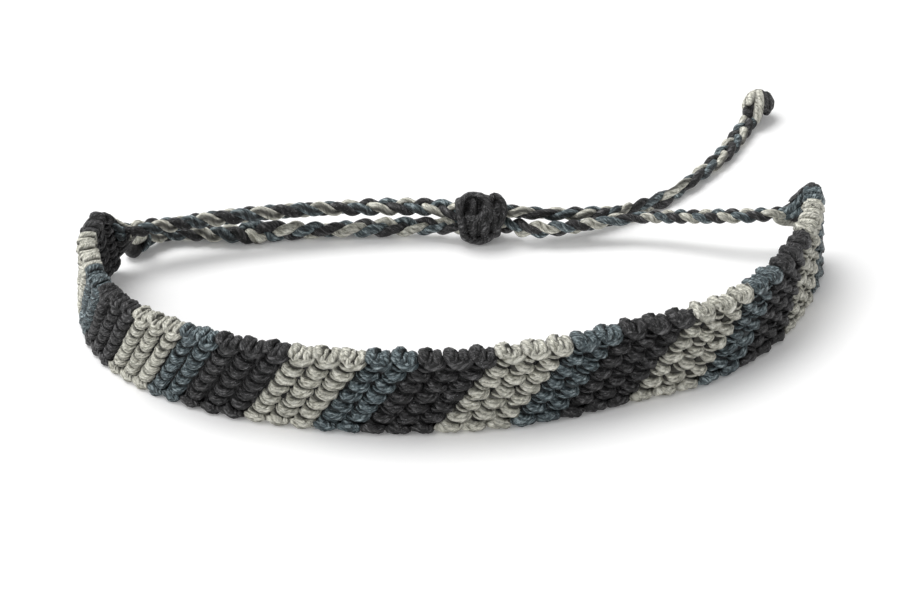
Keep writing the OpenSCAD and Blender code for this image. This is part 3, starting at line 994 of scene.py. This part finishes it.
tail_knot("left", left_tie, LEFT_KNOT_L, [
    ("grey", 0.68, [(0.5, 0.3, 0.75), (0, -0.05, 1), (-0.5, -0.3, 0.6), (-0.8, -0.4, 0.15, 1.16),
                    (-1.0, -0.38, -0.25, 1.38), (-1.0, -0.2, -0.7, 1.3)]),
    ("black", 0.6, [(0.5, 0.1, 0.9, 0.97), (0.1, -0.4, 0.85, 0.97), (-0.35, -0.65, 0.4, 0.98),
                    (-0.6, -0.65, -0.1, 1.02)]),
    ("grey", 0.62, [(-0.8, 0.6, -0.2), (-0.5, 0.8, 0.2), (0, 0.8, 0.6), (0.35, 0.4, 0.8),
                    (0.6, -0.1, 0.7)]),
    ("grey", 0.72, [(-0.9, 0.3, 0.4), (-0.6, 0.4, 0.7), (-0.1, 0.45, 0.9), (0.3, 0.4, 0.8)]),
    ("black", 0.7, [(0.7, -0.2, 0.7), (0.45, -0.6, 0.6), (0.1, -0.9, 0.3), (-0.15, -0.95, -0.15),
                    (-0.2, -0.7, -0.6)]),
    ("black", 0.66, [(0.9, 0.4, 0.2), (0.9, -0.3, 0.2), (0.5, -0.85, 0), (0.1, -0.9, -0.4)]),
    ("black", 0.66, [(-0.8, 0.6, 0.0, 1.05), (-1.0, 0.3, 0.0, 1.24), (-1.0, -0.02, -0.1, 1.24),
                     (-0.7, -0.5, -0.3)]),
    ("blue", 0.5, [(0.9, 0.3, -0.3), (0.4, 0.8, -0.2), (-0.2, 0.9, -0.2), (-0.7, 0.7, -0.1)]),
    ("grey", 0.6, [(0.8, 0.1, -0.5), (0.2, 0.5, -0.8), (-0.4, 0.6, -0.6)]),
])
tail_knot("right", right_tie, RIGHT_KNOT_L, [
    ("black", 0.6, [(0.8, 0.1, 0.6), (0.4, 0, 0.9), (0, 0, 1), (-0.5, 0, 0.8), (-0.9, 0.1, 0.4)]),
    ("blue", 0.55, [(1, 0.3, 0.2), (0.8, 0.5, 0.5), (0.4, 0.5, 0.8), (0, 0.4, 0.9)]),
    ("grey", 0.55, [(0.9, 0.6, 0), (0.5, 0.8, 0.2), (0, 0.85, 0.35), (-0.5, 0.7, 0.4)]),
    ("blue", 0.5, [(-0.9, 0.4, 0.2), (-0.65, 0.8, -0.1), (-0.3, 0.85, -0.5), (0.1, 0.6, -0.8)]),
    ("grey", 0.5, [(0.7, -0.6, 0.3), (0.1, -0.9, 0.2), (-0.6, -0.7, 0.1)]),
    ("black", 0.6, [(0.8, -0.4, -0.3), (0.1, -0.8, -0.5), (-0.6, -0.6, -0.3)]),
])
# The stopper ball under the right tie's knot
middle, along, across, up = tail_knot_frame(right_tie, RIGHT_KNOT_L)
ball = Cords("right_ball_knot", "black")
ball.add(lump_place(middle + along * 0.55 + across * 0.45 - up * 0.39, along * 0.62, 1.2, 2),
         along=16, around=14, length=4.0)
ball.finish("right_tail_knot")


# Studio
def add_light(name, kind, power, aim):
    """A light that shines the way of aim."""
    data = bpy.data.lights.new(name, kind)
    data.energy = power
    light = bpy.data.objects.new(name, data)
    light.rotation_euler = Vector(aim).to_track_quat("-Z", "Y").to_euler()
    bpy.context.scene.collection.objects.link(light)
    return light


floor_bm = bmesh.new()
bmesh.ops.create_grid(floor_bm, x_segments=1, y_segments=1, size=2.0)
floor_mesh = bpy.data.meshes.new("floor")
floor_bm.to_mesh(floor_mesh)
floor_bm.free()
floor = bpy.data.objects.new("floor", floor_mesh)
bpy.context.scene.collection.objects.link(floor)
floor_material, floor_tree, floor_shader = material_nodes("pale floor")
floor_shader.inputs["Base Color"].default_value = (0.94, 0.94, 0.94, 1)
floor_shader.inputs["Roughness"].default_value = 0.7
floor_shader.inputs["Emission Color"].default_value = (1, 1, 1, 1)
floor_shader.inputs["Emission Strength"].default_value = 0.1
floor_mesh.materials.append(floor_material)

world = bpy.data.worlds.new("studio")
world.use_nodes = True
world.node_tree.nodes["Background"].inputs["Color"].default_value = (1, 1, 1, 1)
world.node_tree.nodes["Background"].inputs["Strength"].default_value = 0.44
bpy.context.scene.world = world
broad_light = add_light("broad light", "SUN", 2.1, (0.3, -0.32, -0.9))
broad_light.data.angle = math.radians(42)
front_light = add_light("front light", "AREA", 0.84, (0.45, 0.21, -0.3))
front_light.location = (-0.45, -0.21, 0.3)
front_light.data.shape = "RECTANGLE"
front_light.data.size = front_light.data.size_y = 0.3
bpy.context.scene.view_settings.view_transform = "Standard"
